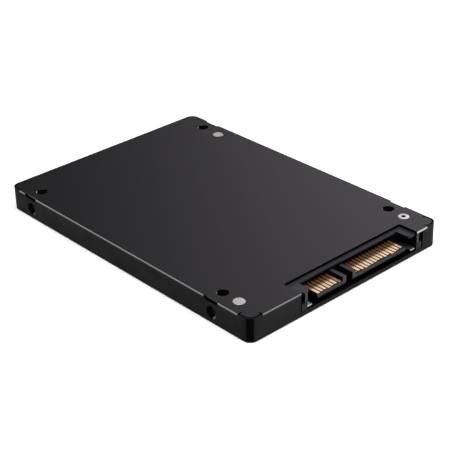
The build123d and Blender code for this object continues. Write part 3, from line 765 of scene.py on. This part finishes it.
chip_piece("controller_package", "controller_chip")
chip_piece("memory_packages", "memory_chips")
chip_piece("flash_packages_upper", "flash_chips_upper")
chip_piece("flash_packages_lower", "flash_chips_lower", above=False)
chip_piece("power_manager_package", "power_manager_chip", 0.4)
chip_piece("boot_flash_package", "boot_flash_chip", 0.35)
chip_piece("input_fuse_package", "input_fuse_chip", 0.3)
chip_piece("temperature_sensor_package", "temperature_sensor", 0.2)


# ------------------------------------------------------------------ small components
def two_ended(name, cad_name, body_material, end_share, long_axis, bevel=0.05):
    """Chip components: a body with a metal cap wrapped round each end.

    end_share is each cap's share of the length, long_axis the axis it runs along.
    """
    bm = bmesh.new()
    inner = Vector((0.03, 0.03, 0.03)) * MM
    for low, high in islands(cad_name):
        cap = (high - low)[long_axis] * end_share
        body_low = low + inner
        body_high = high - inner
        body_low[long_axis] = low[long_axis] + cap * 0.7
        body_high[long_axis] = high[long_axis] - cap * 0.7
        add_block(bm, body_low, body_high, bevel * MM, 0)
        near_high = high.copy()
        near_high[long_axis] = low[long_axis] + cap
        add_block(bm, low, near_high, bevel * MM, 1)
        far_low = low.copy()
        far_low[long_axis] = high[long_axis] - cap
        add_block(bm, far_low, high, bevel * MM, 1)
    finish_piece(name, bm, [body_material, TIN], "board", [cad_name])


two_ended("ceramic_chip_capacitors", "ceramic_capacitors", CERAMIC, 0.24, 1)
two_ended("thick_film_resistors", "chip_resistors", FILM, 0.22, 1, 0.03)
two_ended("surge_diode_packages", "surge_diodes", CHIP, 0.12, 0, 0.08)


def add_leads(bm, low, high, inset, sheet, foot, riser_t, riser_height, foot_bevel, riser_bevel):
    """A flat lead under each end of a block, folded up against that end."""
    y0, y1 = low.y + inset, high.y - inset
    for end_x, inward in ((low.x, 1), (high.x, -1)):
        foot_x = sorted((end_x, end_x + inward * foot))
        riser_x = sorted((end_x, end_x + inward * riser_t))
        for (x0, x1), height, bevel in (
            (foot_x, sheet, foot_bevel),
            (riser_x, riser_height, riser_bevel),
        ):
            add_block(bm, (x0, y0, low.z), (x1, y1, low.z + height), bevel, 1)


def holdup_piece():
    """Moulded capacitors with flat leads under both ends and a band at the positive end."""
    bm = bmesh.new()
    lead = 0.14 * MM
    for low, high in islands("holdup_capacitors"):
        add_block(bm, low + Vector((lead, 0, 0.1 * MM)), high - Vector((lead, 0, 0)), lead, 0, 3)
        add_leads(
            bm,
            low,
            high,
            inset=(high.y - low.y) * 0.22,
            sheet=lead,
            foot=1.1 * MM,
            riser_t=lead * 1.3,
            riser_height=0.95 * MM,
            foot_bevel=0.04 * MM,
            riser_bevel=0.05 * MM,
        )
        band_low = (low.x + 0.7 * MM, low.y + 0.2 * MM, high.z - 0.02 * MM)
        band_high = (low.x + 1.5 * MM, high.y - 0.2 * MM, high.z + 0.004 * MM)
        add_block(bm, band_low, band_high, 0.0, 2)
    materials = [TANTALUM, TIN, STRIPE]
    covers = ["holdup_capacitors"]
    finish_piece("holdup_capacitor_bank", bm, materials, "board", covers)


def inductor_piece():
    """Pressed powder blocks with flat terminals under two sides."""
    bm = bmesh.new()
    side = 0.08 * MM
    for low, high in islands("power_inductors"):
        core_low = low + Vector((side, side, 0.1 * MM))
        core_high = high - Vector((side, side, 0))
        add_block(bm, core_low, core_high, 0.32 * MM, 0, 4)
        add_leads(
            bm,
            low,
            high,
            inset=(high.y - low.y) * 0.22,
            sheet=0.16 * MM,
            foot=0.9 * MM,
            riser_t=0.16 * MM,
            riser_height=0.8 * MM,
            foot_bevel=0.05 * MM,
            riser_bevel=0.05 * MM,
        )
    covers = ["power_inductors"]
    finish_piece("pressed_inductors", bm, [FERRITE, TIN], "board", covers)


def crystal_piece():
    """A ceramic base with a seam-welded metal lid."""
    bm = bmesh.new()
    for low, high in islands("clock_crystal"):
        split = low.z + 0.42 * MM
        add_block(bm, low, (high.x, high.y, split), 0.04 * MM, 0)
        for rim, z0, z1, bevel in (
            (0.14 * MM, split, split + 0.12 * MM, 0.03 * MM),
            (0.34 * MM, split + 0.1 * MM, high.z, 0.07 * MM),
        ):
            add_block(
                bm, (low.x + rim, low.y + rim, z0), (high.x - rim, high.y - rim, z1), bevel, 1
            )
    finish_piece("crystal_package", bm, [ALUMINA, LID], "board", ["clock_crystal"])


holdup_piece()
inductor_piece()
crystal_piece()


# ------------------------------------------------------------------ details on the board's faces
board_low, board_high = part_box("circuit_board")
LIFT = 0.008 * MM
WASHER_INNER = 1.15 * MM
WASHER_OUTER = 2.4 * MM
WASHER_TURNS = 40


def add_film(bm, x0, y0, x1, y1):
    """A thin patch on the board's upper face."""
    add_block(bm, (x0, y0, board_high.z - LIFT), (x1, y1, board_high.z + LIFT))


def add_washer(bm, x, y, low_z, high_z):
    """A flat ring of gold round a screw hole."""
    corners = (
        (WASHER_INNER, low_z),
        (WASHER_OUTER, low_z),
        (WASHER_OUTER, high_z),
        (WASHER_INNER, high_z),
    )
    loops = [circle(bm, x, y, z, lambda a, r=radius: r, WASHER_TURNS) for radius, z in corners]
    for first, second in zip(loops, loops[1:] + loops[:1]):
        bridge(bm, first, second)


def pads_piece():
    """Gold lands: washers round the screw holes and a land under each end of the small parts."""
    bm = bmesh.new()
    side = 0.06 * MM
    over = 0.12 * MM
    for low, high in islands("board_screws"):
        middle = (low + high) / 2
        for face_z in (board_high.z, board_low.z):
            add_washer(bm, middle.x, middle.y, face_z - LIFT, face_z + LIFT)
    for name in ("ceramic_capacitors", "chip_resistors"):
        for low, high in islands(name):
            under = (high.y - low.y) * 0.3
            add_film(bm, low.x - side, low.y - over, high.x + side, low.y + under)
            add_film(bm, low.x - side, high.y - under, high.x + side, high.y + over)
    finish_piece("gold_lands", bm, [GOLD], "board")


def solder_piece():
    """A rounded solder fillet over every contact foot and hold-down foot."""
    bm = bmesh.new()
    for name in ("signal_contacts", "power_contacts"):
        for low, high in islands(name):
            add_block(
                bm,
                (low.x - 0.08 * MM, high.y - 1.15 * MM, board_high.z - LIFT),
                (high.x + 0.08 * MM, high.y + 0.25 * MM, board_high.z + 0.12 * MM),
                0.09 * MM,
                0,
                3,
            )
    for low, high in islands("connector_tabs"):
        add_block(
            bm,
            (low.x - 0.25 * MM, high.y - 1.6 * MM, board_low.z - 0.18 * MM),
            (high.x + 0.25 * MM, high.y + 0.3 * MM, board_low.z + LIFT),
            0.12 * MM,
            0,
            3,
        )
    finish_piece("solder_fillets", bm, [TIN], "board")


OUTLINED = (
    "controller_chip",
    "memory_chips",
    "flash_chips_upper",
    "power_manager_chip",
    "boot_flash_chip",
    "input_fuse_chip",
    "power_inductors",
    "holdup_capacitors",
)


def print_piece():
    """Plain white corner marks printed round the packages; no lettering."""
    bm = bmesh.new()
    line = 0.15 * MM
    gap = 0.3 * MM
    share = 0.22
    for name in OUTLINED:
        for low, high in islands(name):
            x0, x1 = low.x - gap, high.x + gap
            y0, y1 = low.y - gap, high.y + gap
            reach_x = (x1 - x0) * share
            reach_y = (y1 - y0) * share
            for cx, sx in ((x0, 1), (x1, -1)):
                for cy, sy in ((y0, 1), (y1, -1)):
                    xs = sorted((cx, cx + sx * reach_x))
                    ys = sorted((cy, cy + sy * line))
                    add_film(bm, xs[0], ys[0], xs[1], ys[1])
                    xs = sorted((cx, cx + sx * line))
                    ys = sorted((cy + sy * line, cy + sy * reach_y))
                    add_film(bm, xs[0], ys[0], xs[1], ys[1])
    finish_piece("printed_outlines", bm, [PRINT], "board")


pads_piece()
solder_piece()
print_piece()

# ------------------------------------------------------------------ floor and light
FLOOR_SIZE = 3.0
FLOOR_GAP = 0.05 * MM
floor_mesh = bmesh.new()
bmesh.ops.create_grid(floor_mesh, x_segments=8, y_segments=8, size=FLOOR_SIZE)
floor_data = bpy.data.meshes.new("studio_floor")
floor_mesh.to_mesh(floor_data)
floor_mesh.free()
floor = bpy.data.objects.new("studio_floor", floor_data)
floor.location.z = cad_low.z - FLOOR_GAP
scene.collection.objects.link(floor)
floor_shade = mottled(
    "pale_floor", (0.9, 0.9, 0.9), 0.85, 0.1, grain=2.0, vary=0.004, bump=0.02, depth=0.01
)
floor_data.materials.append(floor_shade.material)

centre = (cad_low + cad_high) / 2


def towards(azimuth, elevation):
    """Unit vector from the drive outwards; azimuth 0 is its plug end and 90 its right side."""
    a = math.radians(azimuth)
    e = math.radians(elevation)
    return Vector((math.sin(a) * math.cos(e), -math.cos(a) * math.cos(e), math.sin(e)))


def soft_light(name, azimuth, elevation, distance, size, power):
    """A square soft box aimed at the middle of the drive; metres and watts."""
    data = bpy.data.lights.new(name, "AREA")
    data.shape = "RECTANGLE"
    data.size = size
    data.size_y = size
    data.energy = power
    lamp = bpy.data.objects.new(name, data)
    away = towards(azimuth, elevation)
    lamp.location = centre + away * distance
    lamp.rotation_euler = away.to_track_quat("Z", "Y").to_euler()
    scene.collection.objects.link(lamp)


soft_light("overhead_box", azimuth=-41, elevation=72, distance=1.3, size=1.5, power=34.0)
soft_light("front_right_box", azimuth=20, elevation=40, distance=1.1, size=0.8, power=0.7)

# The room: dim, with one broad bright side that the cover and the contacts mirror. It goes from
# dim to bright between two values of the cosine of the angle to the middle of that side.
BRIGHT_AZIMUTH = 95.0
BRIGHT_ELEVATION = 25.0
BRIGHT_STARTS = 0.68
BRIGHT_FULL = 0.9
ROOM_DIM = 0.05
ROOM_BRIGHT = 1.3
ROOM_TINT = (1.0, 0.95, 1.01)
world = bpy.data.worlds.new("studio")
scene.world = world
world.use_nodes = True
sky = world.node_tree
sky.nodes.clear()
sky_out = sky.nodes.new("ShaderNodeOutputWorld")
sky_back = sky.nodes.new("ShaderNodeBackground")
sky_back.inputs["Color"].default_value = (*ROOM_TINT, 1.0)
sky_coord = sky.nodes.new("ShaderNodeTexCoord")
sky_dot = sky.nodes.new("ShaderNodeVectorMath")
sky_dot.operation = "DOT_PRODUCT"
sky_dot.inputs[1].default_value = towards(BRIGHT_AZIMUTH, BRIGHT_ELEVATION)
sky_ramp = sky.nodes.new("ShaderNodeMapRange")
sky_ramp.interpolation_type = "SMOOTHSTEP"
sky_ramp.inputs["From Min"].default_value = BRIGHT_STARTS
sky_ramp.inputs["From Max"].default_value = BRIGHT_FULL
sky_ramp.inputs["To Min"].default_value = ROOM_DIM
sky_ramp.inputs["To Max"].default_value = ROOM_BRIGHT
sky.links.new(sky_coord.outputs["Generated"], sky_dot.inputs[0])
sky.links.new(sky_dot.outputs["Value"], sky_ramp.inputs["Value"])
sky.links.new(sky_ramp.outputs["Result"], sky_back.inputs["Strength"])
sky.links.new(sky_back.outputs["Background"], sky_out.inputs["Surface"])

# ------------------------------------------------------------------ camera at the photo's angle
CAMERA_AZIMUTH = -41.75
CAMERA_ELEVATION = 28.92
CAMERA_ROLL = -1.61
CAMERA_PLACE = Vector((-208.8, -237.05, 174.3)) * MM
CAMERA_LENS = 102.42
CAMERA_SENSOR = 36.0
CAMERA_CLIP = 0.01

back = towards(CAMERA_AZIMUTH, CAMERA_ELEVATION)
right = towards(CAMERA_AZIMUTH + 90.0, 0.0)
up = back.cross(right)
roll = math.radians(CAMERA_ROLL)
rolled_right = right * math.cos(roll) + up * math.sin(roll)
rolled_up = up * math.cos(roll) - right * math.sin(roll)
camera_data = bpy.data.cameras.new("camera")
camera_data.sensor_width = CAMERA_SENSOR
camera_data.lens = CAMERA_LENS
camera_data.clip_start = CAMERA_CLIP
camera = bpy.data.objects.new("camera", camera_data)
pose = Matrix((rolled_right, rolled_up, back)).transposed().to_4x4()
pose.translation = CAMERA_PLACE
camera.matrix_world = pose
scene.collection.objects.link(camera)
scene.camera = camera

scene.view_settings.view_transform = "Standard"
scene.view_settings.look = "None"
scene.view_settings.exposure = 0.0
scene.view_settings.gamma = 1.0
